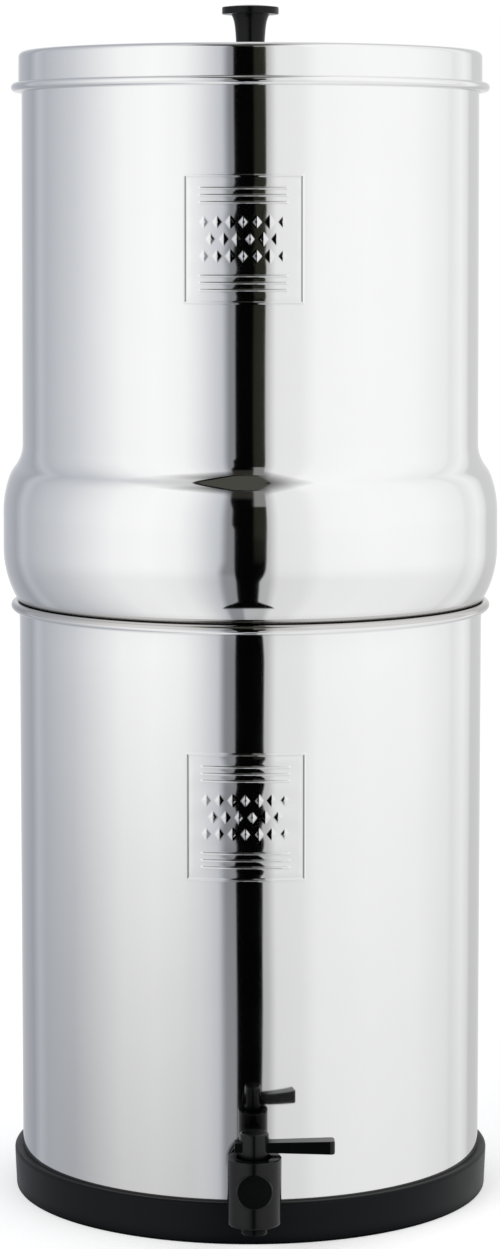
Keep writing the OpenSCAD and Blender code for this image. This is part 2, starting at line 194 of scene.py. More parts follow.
# ---- Embossed plates -----------------------------------------------------

# Direction and height of each plate's middle, in degrees and millimetres
PLATES = {"upper": (-92.29, 428.5), "lower": (-91.77, 183.2)}
FRAME_W_MM = 50.5
FRAME_H_MM = 53.6
FRAME_HALF_MM = 0.75
FRAME_LIFT_MM = 0.22
BEAD_HEIGHTS_MM = (15.5, 18.5, 21.5)
BEAD_REACH_MM = 18.5
BEAD_HALF_MM = 0.65
BEAD_LIFT_MM = 0.28
# Height of each row of studs, and how many studs it has
STUD_ROWS_MM = ((-7.2, 7), (0.0, 6), (7.2, 7))
STUD_PITCH_MM = 5.6
STUD_HALF_W_MM = 2.4
STUD_HALF_H_MM = 3.3
STUD_LIFT_MM = 0.17
SWELL_LIFT_MM = 0.05
SWELL_PITCH_MM = 13.0
SWELL_EDGE_MM = 3.0


def hump(distance, half_width):
    """1 in the middle of a rounded ridge, falling to 0 at its sides."""
    return 0.5 + 0.5 * np.cos(np.pi * np.clip(np.abs(distance) / half_width, 0, 1))


def plate_lift(across, up):
    """How far frame, level beads and pointed studs stand proud, at places from the middle."""
    inside = np.minimum(FRAME_W_MM / 2 - np.abs(across), FRAME_H_MM / 2 - np.abs(up))
    lift = FRAME_LIFT_MM * hump(inside, FRAME_HALF_MM)
    wave = np.sin(2 * np.pi * across / FRAME_W_MM) * np.cos(2 * np.pi * up / SWELL_PITCH_MM)
    swell = SWELL_LIFT_MM * (1 + wave)
    lift = lift + swell * (1 - hump(np.maximum(inside, 0), SWELL_EDGE_MM))
    past_bead = np.maximum(np.abs(across) - BEAD_REACH_MM, 0)
    for bead_up in BEAD_HEIGHTS_MM:
        lift = lift + BEAD_LIFT_MM * hump(np.hypot(past_bead, np.abs(up) - bead_up), BEAD_HALF_MM)
    for row_up, count in STUD_ROWS_MM:
        edge = STUD_PITCH_MM * count / 2
        off = (across + edge) % STUD_PITCH_MM - STUD_PITCH_MM / 2
        away = np.abs(off) / STUD_HALF_W_MM + np.abs(up - row_up) / STUD_HALF_H_MM
        lift = lift + np.where(np.abs(across) < edge, STUD_LIFT_MM * hump(away, 1.0), 0)
    return lift


def both_ways(*stretches, nearest_mm=0.06):
    """Places on both sides of 0, from stretches of (low, high, step), no two nearly meeting."""
    half = np.concatenate([np.arange(low, high + step_mm / 2, step_mm)
                           for low, high, step_mm in stretches])
    places = np.sort(np.concatenate([-half, half]))
    return places[np.insert(np.diff(places) > nearest_mm, 0, True)]


# Places of the mesh's columns and rows round a plate's middle, close where the surface bends
BEAD_ROWS_MM = [(up - 0.7, up + 0.7, 0.14) for up in BEAD_HEIGHTS_MM]
PLATE_COLUMNS_MM = both_ways((0, 19.6, 0.28), (20.1, 24.1, 0.5), (24.4, 26.1, 0.17),
                             (26.4, 26.9, 0.25))
PLATE_ROWS_MM = both_ways((0, 11.1, 0.3), (11.6, 14.6, 0.6), *BEAD_ROWS_MM,
                          (22.8, 25.6, 0.7), (25.9, 27.7, 0.18))


# ---- Mesh building -------------------------------------------------------

ON_AXIS_MM = 1e-6
SAME_PLACE = 1e-7
DRILL_SIDES = 64
# Columns of a wall: width of the first one past the plate, growth from one to the next, and limit
COLUMN_DEG = 0.22
COLUMN_GROWTH = 1.3
WIDEST_COLUMN_DEG = 2.0
BACK_DEG = 179.5
# Rows of a wall: a stretch that drops further than this is the straight wall
WALL_DROP_MM = 50
LONGEST_ROW_MM = 5.0
LID_ROW_MM = 4.0
LID_COLUMN_DEG = 1.5
# Screw threads: the section's half widths at the stem and at the crest are shares of the pitch
THREAD_STEPS = 36
THREAD_PITCH_MM = 2.0
THREAD_RISE_MM = 0.5
THREAD_SUNK_MM = 0.15
THREAD_FOOT = 0.36
THREAD_CREST = 0.09
THREAD_RUN_OUT = 1 / 3
THREAD_CORNER_DEG = 20


def sharpen(mesh, angle_deg=35.0):
    """Smooth shading with a hard line at every edge that turns by more than the angle."""
    work = bmesh.new()
    work.from_mesh(mesh)
    for face in work.faces:
        face.smooth = True
    for edge in work.edges:
        edge.smooth = edge.calc_face_angle(0.0) < math.radians(angle_deg)
    work.to_mesh(mesh)
    work.free()


def show(name, mesh, body, slot, replaces=()):
    """Adds a finished mesh as a piece that rides on a body, in its slot's material."""
    piece = bpy.data.objects.new(name, mesh)
    bpy.context.scene.collection.objects.link(piece)
    mesh.materials.clear()
    mesh.materials.append(MATERIALS[slot])
    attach(piece, body)
    if replaces:
        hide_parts(*replaces)


def turned_mesh(name, profile, turns_deg, lift_at=None):
    """A closed profile turned about Z. lift_at(turn, radius, height) moves points outwards."""
    points = np.array(profile)
    turns = np.radians(turns_deg)
    radius = np.repeat(points[:, 0][:, None], len(turns), axis=1)
    height = np.repeat(points[:, 1][:, None], len(turns), axis=1)
    if lift_at:
        radius = radius + lift_at(turns[None, :], radius, height)
    places = np.stack([radius * np.cos(turns), radius * np.sin(turns), height], axis=2)
    rows, columns = len(points), len(turns)
    row, column = np.meshgrid(np.arange(rows), np.arange(columns), indexing="ij")
    next_row, next_column = (row + 1) % rows, (column + 1) % columns
    corners = [row * columns + column, row * columns + next_column,
               next_row * columns + next_column, next_row * columns + column]
    at_axis = points[:, 0] < ON_AXIS_MM
    faces = np.stack(corners, axis=2)[~(at_axis & np.roll(at_axis, -1))].reshape(-1, 4)
    mesh = bpy.data.meshes.new(name)
    mesh.from_pydata((places.reshape(-1, 3) * MM).tolist(), [], faces.tolist())
    work = bmesh.new()
    work.from_mesh(mesh)
    bmesh.ops.remove_doubles(work, verts=work.verts, dist=SAME_PLACE)
    bmesh.ops.recalc_face_normals(work, faces=work.faces)
    work.to_mesh(mesh)
    work.free()
    return mesh


def cut_holes(mesh, holes):
    """The mesh with round holes, each given as (place, direction, radius, length) in metres."""
    target = bpy.data.objects.new("drilled", mesh)
    bpy.context.scene.collection.objects.link(target)
    drill_mesh = bpy.data.meshes.new("drills")
    work = bmesh.new()
    for place, direction, radius, length in holes:
        turn = Vector(direction).to_track_quat("Z", "Y").to_matrix().to_4x4()
        bmesh.ops.create_cone(work, cap_ends=True, segments=DRILL_SIDES, radius1=radius,
                              radius2=radius, depth=length,
                              matrix=Matrix.Translation(place) @ turn)
    work.to_mesh(drill_mesh)
    work.free()
    drill = bpy.data.objects.new("drills", drill_mesh)
    bpy.context.scene.collection.objects.link(drill)
    modifier = target.modifiers.new("holes", "BOOLEAN")
    modifier.operation = "DIFFERENCE"
    modifier.solver = "MANIFOLD"
    modifier.object = drill
    bpy.context.view_layer.update()
    drilled = target.evaluated_get(bpy.context.evaluated_depsgraph_get())
    result = bpy.data.meshes.new_from_object(drilled)
    bpy.data.objects.remove(target)
    bpy.data.objects.remove(drill)
    return result


def wall_turns(plate_deg):
    """Directions of a wall's columns: close across the plate, then wider and wider apart."""
    plate = np.degrees(PLATE_COLUMNS_MM / UPPER_R_MM)
    widths = np.minimum(COLUMN_DEG * COLUMN_GROWTH ** np.arange(200), WIDEST_COLUMN_DEG)
    away = plate[-1] + np.cumsum(widths)
    away = away[away < BACK_DEG]
    return np.concatenate([plate, away, 360 - away[::-1]]) + plate_deg


def wall_rows(line, plate_z, wall_r, others_z=()):
    """The line in even rows, with narrow ones at the other heights and, outside, at the plate."""
    points = []
    for before, after in zip(line, line[1:]):
        drop = after[1] - before[1]
        heights = list(others_z) if abs(drop) > WALL_DROP_MM else []
        if abs(drop) > WALL_DROP_MM and max(before[0], after[0]) > wall_r - SHEET_MM / 2:
            heights += list(plate_z + PLATE_ROWS_MM)
        cuts = sorted({0.0, *[t for t in ((z - before[1]) / drop for z in heights) if 0 < t < 1]})
        stops = [tuple(np.add(before, np.subtract(after, before) * t)) for t in cuts]
        points += fine(stops + [after], LONGEST_ROW_MM)[:-1]
    return points + [line[-1]]


def plate_on(plate_deg, plate_z, wall_r):
    """Moves the outer wall outwards where the embossed plate is."""
    def lift(turn, radius, height):
        across = (turn - math.radians(plate_deg) + math.pi) % (2 * math.pi) - math.pi
        proud = plate_lift(across * wall_r, height - plate_z)
        near = (np.abs(height - plate_z) < FRAME_H_MM) & (radius > wall_r - SHEET_MM / 2)
        return np.where(near, proud, 0)
    return lift


def thread_mesh(name, radius_mm, length_mm):
    """A screw thread's ridge along +Z from the origin, on a stem of that radius."""
    count = int(THREAD_STEPS * length_mm / THREAD_PITCH_MM)
    foot, crest = radius_mm - THREAD_SUNK_MM, radius_mm + THREAD_RISE_MM
    section = [(foot, -THREAD_FOOT), (crest, -THREAD_CREST),
               (crest, THREAD_CREST), (foot, THREAD_FOOT)]
    places = []
    for i in range(count + 1):
        turn = 2 * math.pi * i / THREAD_STEPS
        ends = min(1.0, min(i, count - i) / (THREAD_STEPS * THREAD_RUN_OUT))
        for radius, up in section:
            reach = foot + (radius - foot) * ends
            places.append((reach * math.cos(turn), reach * math.sin(turn),
                           (i / THREAD_STEPS + up) * THREAD_PITCH_MM))
    faces = [(4 * i + k, 4 * i + (k + 1) % 4, 4 * i + 4 + (k + 1) % 4, 4 * i + 4 + k)
             for i in range(count) for k in range(4)]
    faces += [(3, 2, 1, 0), (4 * count, 4 * count + 1, 4 * count + 2, 4 * count + 3)]
    mesh = bpy.data.meshes.new(name)
    mesh.from_pydata((np.array(places) * MM).tolist(), [], faces)
    return mesh


# ---- Shader nodes --------------------------------------------------------

def add(tree, kind, settings=None, **inputs):
    """One shader node. An input takes a value or a socket. Its name's underscores stand for
    spaces, and a name such as i6 stands for a number."""
    node = tree.nodes.new("ShaderNode" + kind)
    for name, value in (settings or {}).items():
        setattr(node, name, value)
    for name, value in inputs.items():
        socket = node.inputs[int(name[1:]) if name[1:].isdigit() else name.replace("_", " ")]
        if isinstance(value, bpy.types.NodeSocket):
            tree.links.new(value, socket)
        else:
            socket.default_value = value
    return node


def noise(tree, place, scale, detail, roughness=0.5):
    """Soft noise from 0 to 1."""
    node = add(tree, "TexNoise", Vector=place, Scale=scale, Detail=detail, Roughness=roughness)
    return node.outputs["Fac"]


def between(tree, factor, low, high):
    """A value from low to high, as factor goes from 0 to 1."""
    return add(tree, "MapRange", Value=factor, To_Min=low, To_Max=high).outputs["Result"]


def ramp(tree, value, start, end):
    """0 at the start and before it, 1 at the end and past it, with an even rise between."""
    return add(tree, "MapRange", Value=value, From_Min=start, From_Max=end).outputs["Result"]


def step(tree, value, start, end):
    """0 at the start and before it, 1 at the end and past it, with a smooth rise between."""
    return add(tree, "MapRange", {"interpolation_type": "SMOOTHSTEP"},
               Value=value, From_Min=start, From_Max=end).outputs["Result"]


def calc(tree, operation, *values):
    """The result of one Math node."""
    inputs = {f"i{number}": value for number, value in enumerate(values)}
    return add(tree, "Math", {"operation": operation}, **inputs).outputs[0]


def product(tree, *values):
    """All the values multiplied."""
    result = values[0]
    for value in values[1:]:
        result = calc(tree, "MULTIPLY", result, value)
    return result


def least(tree, *values):
    """The smallest of the values."""
    result = values[0]
    for value in values[1:]:
        result = calc(tree, "MINIMUM", result, value)
    return result


def mixed(tree, factor, low, high):
    """A colour from low to high, each a socket or three numbers, as factor goes from 0 to 1."""
    low, high = [value if isinstance(value, bpy.types.NodeSocket) else (*value, 1)
                 for value in (low, high)]
    return add(tree, "Mix", {"data_type": "RGBA"}, i0=factor, i6=low, i7=high).outputs[2]


def bump(tree, height, distance, normal=None):
    """A surface direction that follows the height, which spans that distance in metres."""
    node = add(tree, "Bump", Height=height, Distance=distance, Strength=1.0)
    if normal is not None:
        tree.links.new(normal, node.inputs["Normal"])
    return node.outputs["Normal"]


def open_air(tree, reach):
    """1 in the open, falling to 0 where other surfaces within reach shelter the place."""
    return add(tree, "AmbientOcclusion", {"samples": 8}, Distance=reach).outputs["AO"]


# ---- Materials -----------------------------------------------------------

STEEL_DULL = (0.855, 0.857, 0.863)
STEEL_BRIGHT = (0.885, 0.886, 0.890)
# Colour of the painted shade at the seam
STEEL_SEAM_SHADE = (0.30, 0.27, 0.24)
# Colour of the painted shade in narrow places
STEEL_CREVICE_SHADE = (0.10, 0.095, 0.085)
# Waves and spun lines: scale of the noise, and height of the relief in metres
WAVE_SCALE, WAVE_HEIGHT = 11.0, 0.00045
SPUN_SCALE, SPUN_HEIGHT = (6.0, 6.0, 900.0), 0.0000006
# Painted dimmer reflection: the lower wall darkens from one height to the other, by an even share
# and more on the left
DARKER_FROM_Z, DARKER_TO_Z = 0.256, 0.014
DARKER_EVEN, DARKER_LEFT = 0.06, 0.24
LEFT_INNER_X, LEFT_OUTER_X = (-0.014, -0.030), (-0.096, -0.076)
# Painted shade: the steel is darkened towards a brownish grey between these heights, where the
# bulge comes down to the rim
SEAM_TOP_Z, SEAM_FOOT_Z, SEAM_SHARE = (0.2705, 0.2640), (0.2632, 0.2634), 0.45
# Painted shade in narrow places: reach of the occlusion, and how sharply the colour darkens
STEEL_SHADE_REACH, STEEL_SHADE_POWER = 0.0012, 1.6


def new_material(name):
    """An empty material with a Principled shader, and its place coordinates in metres."""
    material = bpy.data.materials.new(name)
    material.use_nodes = True
    tree = material.node_tree
    shader = tree.nodes["Principled BSDF"]
    place = tree.nodes.new("ShaderNodeTexCoord").outputs["Object"]
    return material, tree, shader, place


def set_looks(tree, shader, colour, roughness, normal):
    """Joins the colour, the roughness and the surface direction to the shader."""
    for name, socket in (("Base Color", colour), ("Roughness", roughness), ("Normal", normal)):
        tree.links.new(socket, shader.inputs[name])


def polished_steel():
    """Mirror steel with slow waves, fine spun lines and faint smudges. Its colour holds painted
    shade:
    a dimmer painted reflection low down on the lower wall, more so on the left, and painted shade
    at the seam and in narrow places."""
    material, tree, shader, place = new_material("polished_steel")
    shader.inputs["Metallic"].default_value = 1.0
    parts = add(tree, "SeparateXYZ", Vector=place).outputs
    smudge = noise(tree, place, scale=38.0, detail=5.0, roughness=0.6)
    colour = mixed(tree, smudge, STEEL_DULL, STEEL_BRIGHT)
    # Painted dimmer reflection: the colour darkens low down on the lower wall, more on the left
    left = product(tree, step(tree, parts["X"], *LEFT_INNER_X),
                   step(tree, parts["X"], *LEFT_OUTER_X))
    darker = calc(tree, "MULTIPLY_ADD", left, DARKER_LEFT, DARKER_EVEN)
    painted_dim_reflection = product(tree, ramp(tree, parts["Z"], DARKER_FROM_Z, DARKER_TO_Z), darker)
    colour = mixed(tree, painted_dim_reflection, colour, (0.0, 0.0, 0.0))
    # Painted shade in the seam, where the bulge comes down to the rim
    seam = product(tree, step(tree, parts["Z"], *SEAM_TOP_Z), step(tree, parts["Z"], *SEAM_FOOT_Z),
                   SEAM_SHARE)
    colour = mixed(tree, seam, colour, STEEL_SEAM_SHADE)
    # Painted shade: the colour goes dark where other surfaces within reach shelter the place
    unshaded_share = calc(tree, "POWER", open_air(tree, STEEL_SHADE_REACH), STEEL_SHADE_POWER)
    colour = mixed(tree, unshaded_share, STEEL_CREVICE_SHADE, colour)
    waves = bump(tree, noise(tree, place, scale=WAVE_SCALE, detail=1.0), WAVE_HEIGHT)
    stretched = add(tree, "Mapping", Vector=place, Scale=SPUN_SCALE).outputs["Vector"]
    spun_lines = noise(tree, stretched, scale=1.0, detail=2.0)
    set_looks(tree, shader, colour, between(tree, smudge, low=0.030, high=0.075),
              bump(tree, spun_lines, SPUN_HEIGHT, normal=waves))
    return material


def screw_steel():
    """Plain bright steel with a fine grain."""
    material, tree, shader, place = new_material("screw_steel")
    shader.inputs["Metallic"].default_value = 1.0
    grain = noise(tree, place, scale=900.0, detail=4.0)
    set_looks(tree, shader, mixed(tree, grain, (0.56, 0.56, 0.57), (0.68, 0.68, 0.69)),
              between(tree, grain, low=0.22, high=0.38), bump(tree, grain, 0.00001))
    return material


def moulded(name, dark, light, roughness, grain_height, gloss=0.5, shelter=0.0):
    """Moulded plastic or rubber: a fine grain, a colour that varies a little, and painted shade:
    less gloss where surfaces within the shelter's reach are near."""
    material, tree, shader, place = new_material(name)
    cloud = noise(tree, place, scale=60.0, detail=4.0)
    grain = noise(tree, place, scale=2600.0, detail=2.0)
    set_looks(tree, shader, mixed(tree, cloud, dark, light),
              between(tree, cloud, roughness - 0.05, roughness + 0.07),
              bump(tree, grain, grain_height))
    shader.inputs["Specular IOR Level"].default_value = gloss
    # Painted shade: the gloss drops where other surfaces are near
    if shelter:
        unshaded_gloss_share = step(tree, open_air(tree, shelter), 0.3, 0.9)
        tree.links.new(product(tree, unshaded_gloss_share, gloss), shader.inputs["Specular IOR Level"])
    return material


def candle_ceramic():
    """Unglazed ceramic with fine pores."""
    material, tree, shader, place = new_material("candle_ceramic")
    pores = noise(tree, place, scale=1500.0, detail=4.0, roughness=0.7)
    cloud = noise(tree, place, scale=35.0, detail=4.0)
    set_looks(tree, shader, mixed(tree, cloud, (0.80, 0.78, 0.72), (0.88, 0.86, 0.81)),
              between(tree, pores, low=0.75, high=0.95), bump(tree, pores, 0.00006))
    return material


MATERIALS = {
    "polished_steel": polished_steel(),
    "screw_steel": screw_steel(),
    # Painted shade: base_rubber and tap_plastic lose gloss near other surfaces, through their
    # shelter reach
    "base_rubber": moulded("base_rubber", (0.0012, 0.0022, 0.0031), (0.0022, 0.0035, 0.0046),
                           roughness=0.34, grain_height=0.00001, gloss=0.13, shelter=0.008),
    "seal_rubber": moulded("seal_rubber", (0.010, 0.010, 0.010), (0.016, 0.016, 0.016),
                           roughness=0.55, grain_height=0.00002, gloss=0.3),
    "tap_plastic": moulded("tap_plastic", (0.0008, 0.0010, 0.0012), (0.0018, 0.0021, 0.0024),
                           roughness=0.18, grain_height=0.000004, gloss=0.28, shelter=0.04),
    "knob_plastic": moulded("knob_plastic", (0.0014, 0.0016, 0.0019), (0.0030, 0.0033, 0.0037),
                            roughness=0.20, grain_height=0.000006, gloss=0.20),
    "candle_ceramic": candle_ceramic(),
    "white_plastic": moulded("white_plastic", (0.80, 0.80, 0.78), (0.86, 0.86, 0.84),
                             roughness=0.40, grain_height=0.00001),
}


# ---- Steel shells --------------------------------------------------------

# Lengths of the cutters that make the holes
WALL_DRILL = 0.02
SHEET_DRILL = 0.006
# The lower wall's radius at its plate, and how far narrow rows go above and below the tap's hole
LOWER_PLATE_R_MM = LOWER_BOTTOM_R_MM + 0.6
TAP_ROWS_MM = 11


def lower_chamber():
    """The lower chamber's sheet, with its plate and the tap's hole."""
    plate_deg, plate_z = PLATES["lower"]
    outside = sheet_profile(lower_line(), -SHEET_MM)
    tap_rows = np.arange(TAP_Z_MM - TAP_ROWS_MM, TAP_Z_MM + TAP_ROWS_MM, 1.0)
    rows = wall_rows(outside, plate_z, LOWER_PLATE_R_MM, tap_rows)
    mesh = turned_mesh("lower_steel", rows, wall_turns(plate_deg),
                       plate_on(plate_deg, plate_z, LOWER_PLATE_R_MM))
    mesh = cut_holes(mesh, [((0, -LOWER_BOTTOM_R_MM * MM, TAP_Z_MM * MM), (0, 1, 0),
                             (STEM_R_MM + STEM_HOLE_GAP_MM) * MM, WALL_DRILL)])
    sharpen(mesh)
    show("lower_steel", mesh, "lower", "polished_steel", ["lower_chamber"])


def candle_place(number):
    """Where a candle's axis meets the ground."""
    turn = math.radians(90 * number - 45)
    return Vector((CANDLE_RING_MM * MM * math.cos(turn), CANDLE_RING_MM * MM * math.sin(turn), 0))


def upper_chamber():
    """The upper chamber's sheet, with its plate and the candles' holes."""
    plate_deg, plate_z = PLATES["upper"]
    rows = wall_rows(sheet_profile(upper_line(), -SHEET_MM), plate_z, UPPER_R_MM)
    mesh = turned_mesh("upper_steel", rows, wall_turns(plate_deg),
                       plate_on(plate_deg, plate_z, UPPER_R_MM))
    on_floor = Vector((0, 0, UPPER_FLOOR_MM * MM))
    mesh = cut_holes(mesh, [(candle_place(n) + on_floor, (0, 0, 1),
                             (CANDLE_STEM_MM + CANDLE_HOLE_GAP_MM) * MM, SHEET_DRILL)
                            for n in CANDLES])
    sharpen(mesh)
    show("upper_steel", mesh, "upper", "polished_steel", ["upper_chamber"])


def lid():
    """The lid's sheet, with the screw's hole."""
    profile = fine(sheet_profile(lid_line(), SHEET_MM), LID_ROW_MM)
    mesh = turned_mesh("lid_steel", profile, np.arange(0, 360, LID_COLUMN_DEG))
    mesh = cut_holes(mesh, [((0, 0, LID_TOP_MM * MM), (0, 0, 1), LID_HOLE_R_MM * MM, SHEET_DRILL)])
    sharpen(mesh)
    show("lid_steel", mesh, "lid", "polished_steel", ["lid_shell"])


# ---- Threads -------------------------------------------------------------

CANDLE_THREAD_MM = 14.0
CANDLE_THREAD_UP = 0.0012
TAP_THREAD_MM = 4.0
TAP_THREAD_IN = 0.0007


def threads():
    """Ridges on the free ends of the candles' stems and of the tap's stem."""
    low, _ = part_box("candle_base_1")
    for n in CANDLES:
        mesh = thread_mesh(f"candle_thread_{n}", CANDLE_STEM_MM, CANDLE_THREAD_MM)
        mesh.transform(Matrix.Translation(
            candle_place(n) + Vector((0, 0, low.z + CANDLE_THREAD_UP))))
        sharpen(mesh, THREAD_CORNER_DEG)
        show(f"candle_thread_{n}", mesh, "upper", "white_plastic")
    _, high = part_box("tap_body")
    mesh = thread_mesh("tap_thread", STEM_R_MM, TAP_THREAD_MM)
    mesh.transform(Matrix.Translation((0, high.y - TAP_THREAD_IN, TAP_Z_MM * MM))
                   @ Matrix.Rotation(math.radians(90), 4, "X"))
    sharpen(mesh, THREAD_CORNER_DEG)
    show("tap_thread", mesh, "lower", "tap_plastic")


# ---- Studio --------------------------------------------------------------

CAMERA_AWAY_MM = 1618.0
CAMERA_HEIGHT_MM = 441.9
CAMERA_TURN_DEG = 0.65
CAMERA_PITCH_DEG = 3.0
PHOTO_FOCAL_PX = 3595.0
PHOTO_HEIGHT_PX = 1249.0
SENSOR_MM = 36.0
CAMERA_SHIFT_X = -0.0003
CAMERA_SHIFT_Y = -0.1832

# In the names below, a turn is in degrees to the right of the camera's direction, a rise is in
# degrees above level, and a pair holds the start and the end of a smooth step.

# Brightness of the light tent round the object, by turn
TENT = [
    (-176, 0.78), (-160, 0.53), (-140, 0.42), (-131, 0.57), (-123, 0.52), (-99, 0.68), (-82, 0.86),
    (-66, 1.03), (-48, 1.08), (-33, 1.03), (-25, 0.89), (-16.5, 0.67), (-12.4, 0.59), (8.3, 0.56),
    (12.4, 0.89), (25, 0.92), (33, 1.03), (60, 1.07), (90, 1.05), (115, 0.95), (119, 0.88),
    (131, 0.98), (139, 0.85), (143, 0.68), (160, 0.68), (176, 0.80)]
# On the left the tent is cooler the further it is below this brightness
COOL_BELOW, COOL_RED, COOL_BLUE = 0.95, 0.09, 0.17
# The dimmer band to the left of the cloth in front, which is wider and fainter low down
BAND_LEFT_TURNS, BAND_RIGHT_TURNS, BAND_DEPTH = (-14.6, -9.8), (-3, -5), 0.57
BAND_WIDER_RISES, BAND_WIDER_DEG = (-5, -8), 1.7
BAND_FAINT_RISES, BAND_FAINT = (-8, -15), 0.13
# The tent is a little dimmer towards the ground
GROUND_RISES, GROUND_DEPTH = (-1, -20), 0.12

# The tall dark cloth in front: wider on the left from the middle up, narrower below, and flared
# at its foot. It is brown at the top, olive on the right, and has a grey patch on the right.
CLOTH_LEFT_TURN, CLOTH_RIGHT_TURN, CLOTH_SOFT_DEG = -7.3, 7.4, 0.35
CLOTH_FOOT_RISES, CLOTH_HEAD_RISES = (-50, -48), (46, 44)
FLARE_RISES, FLARE_DEG = (-40, -49), 9.5
WIDER_RISES, MUCH_WIDER_RISES, MUCH_WIDER_DEG = (-3, 2.5), (16, 30), 1.6
NARROWER_RISES, MUCH_NARROWER_RISES, MUCH_NARROWER_DEG = (-4, -11), (-9, -20), 2.2
NARROWER_ON_LEFT = 0.25
OLIVE_TURNS, OLIVE_RISES = (0.8, 2.4), (-6.5, -4.5)
BROWN_RISES = (28, 33)
GREY_RISES, GREY_TURNS = (20.5, 22.5), (1.2, 2.2)
BLACK_CLOTH = (0.001, 0.001, 0.001)
OLIVE_CLOTH = (0.021, 0.022, 0.016)
BROWN_CLOTH = (0.026, 0.025, 0.021)
GREY_CLOTH = (0.235, 0.235, 0.225)

# The dark cloth overhead, measured level as shares of the height above the object: across to the
# right, and ahead towards the camera. Its left and right edges are bowed.
CEILING_CLOTH = (0.068, 0.070, 0.058)
CEILING_FRONT, CEILING_BACK, CEILING_SOFT = 0.97, (0.19, 0.25), (0.0, 0.008)
CEILING_LEFT, LEFT_BOW, LEFT_BOW_AHEAD = 0.365, 0.36, 0.28
CEILING_RIGHT, RIGHT_BOW = 0.135, 0.08
OVERHEAD_Z, LOWEST_Z = (0.02, 0.05), 0.01
# Its black hem, which is wider forwards and ends on the right
HEM, HEM_WIDER, HEM_WIDER_AHEAD, HEM_END_AHEAD = (0.028, 0.042), 0.035, (0.3, 0.6), (0.38, 0.5)
# The dimmer halo round it: shorter on the right, longer in front, and deeper on both
HALO_REACH, HALO_ON_RIGHT, HALO_IN_FRONT, HALO_BACK = 0.55, 2.0, 0.3, 0.22
HALO_DEEP_AHEAD, HALO_DEEP_ACROSS, HALO_DEPTH, HALO_DEEPER = (0.35, 0.75), (-0.1, 0.05), 0.4, 0.4


def grey(value):
    """A grey colour with full alpha."""
    return (value, value, value, 1.0)


def tent(tree, turn, rise):
    """The tent's pale walls, dimmer low down and in the band beside the dark cloth."""
    walls = add(tree, "ValToRGB", Fac=calc(tree, "MULTIPLY_ADD", turn, 1 / 360, 0.5))
    stops = walls.color_ramp.elements
    for number, (turn_deg, value) in enumerate(TENT):
        place = 0.5 + turn_deg / 360
        stop = stops[number] if number < 2 else stops.new(place)
        cool = max(0.0, COOL_BELOW - value) if turn_deg < 0 else 0.0
        stop.position = place
        stop.color = (value * (1 - COOL_RED * cool), value, value * (1 + COOL_BLUE * cool), 1.0)
    shifted = calc(tree, "MULTIPLY_ADD", step(tree, rise, *BAND_WIDER_RISES), BAND_WIDER_DEG, turn)
    depth = calc(tree, "MULTIPLY_ADD", step(tree, rise, *BAND_FAINT_RISES), -BAND_FAINT, BAND_DEPTH)
    band = product(tree, step(tree, shifted, *BAND_LEFT_TURNS),
                   step(tree, turn, *BAND_RIGHT_TURNS), depth)
    ground = product(tree, step(tree, rise, *GROUND_RISES), GROUND_DEPTH)
    light = product(tree, calc(tree, "SUBTRACT", 1.0, band), calc(tree, "SUBTRACT", 1.0, ground))
    return add(tree, "Mix", {"data_type": "RGBA", "blend_type": "MULTIPLY"}, i0=1.0,
               i6=walls.outputs["Color"], i7=light).outputs[2]


def front_cloth(tree, turn, rise):
    """Where the tall dark cloth in front of the tent is, and its colour."""
    flare = product(tree, step(tree, rise, *FLARE_RISES), FLARE_DEG)
    wider = calc(tree, "MULTIPLY_ADD", step(tree, rise, *MUCH_WIDER_RISES), MUCH_WIDER_DEG,
                 step(tree, rise, *WIDER_RISES))
    narrower = calc(tree, "MULTIPLY_ADD", step(tree, rise, *MUCH_NARROWER_RISES),
                    MUCH_NARROWER_DEG, step(tree, rise, *NARROWER_RISES))
    left = calc(tree, "MULTIPLY_ADD", narrower, NARROWER_ON_LEFT,
                calc(tree, "SUBTRACT", CLOTH_LEFT_TURN, wider))
    left = calc(tree, "SUBTRACT", left, flare)
    right = calc(tree, "SUBTRACT", calc(tree, "ADD", flare, CLOTH_RIGHT_TURN), narrower)
    where = product(
        tree,
        step(tree, calc(tree, "SUBTRACT", turn, left), -CLOTH_SOFT_DEG, CLOTH_SOFT_DEG),
        step(tree, calc(tree, "SUBTRACT", turn, right), CLOTH_SOFT_DEG, -CLOTH_SOFT_DEG),
        step(tree, rise, *CLOTH_FOOT_RISES), step(tree, rise, *CLOTH_HEAD_RISES))
    olive = product(tree, step(tree, turn, *OLIVE_TURNS), step(tree, rise, *OLIVE_RISES))
    colour = mixed(tree, olive, BLACK_CLOTH, OLIVE_CLOTH)
    colour = mixed(tree, step(tree, rise, *BROWN_RISES), colour, BROWN_CLOTH)
    patch = product(tree, step(tree, rise, *GREY_RISES), step(tree, turn, *GREY_TURNS))
    return where, mixed(tree, patch, colour, GREY_CLOTH)


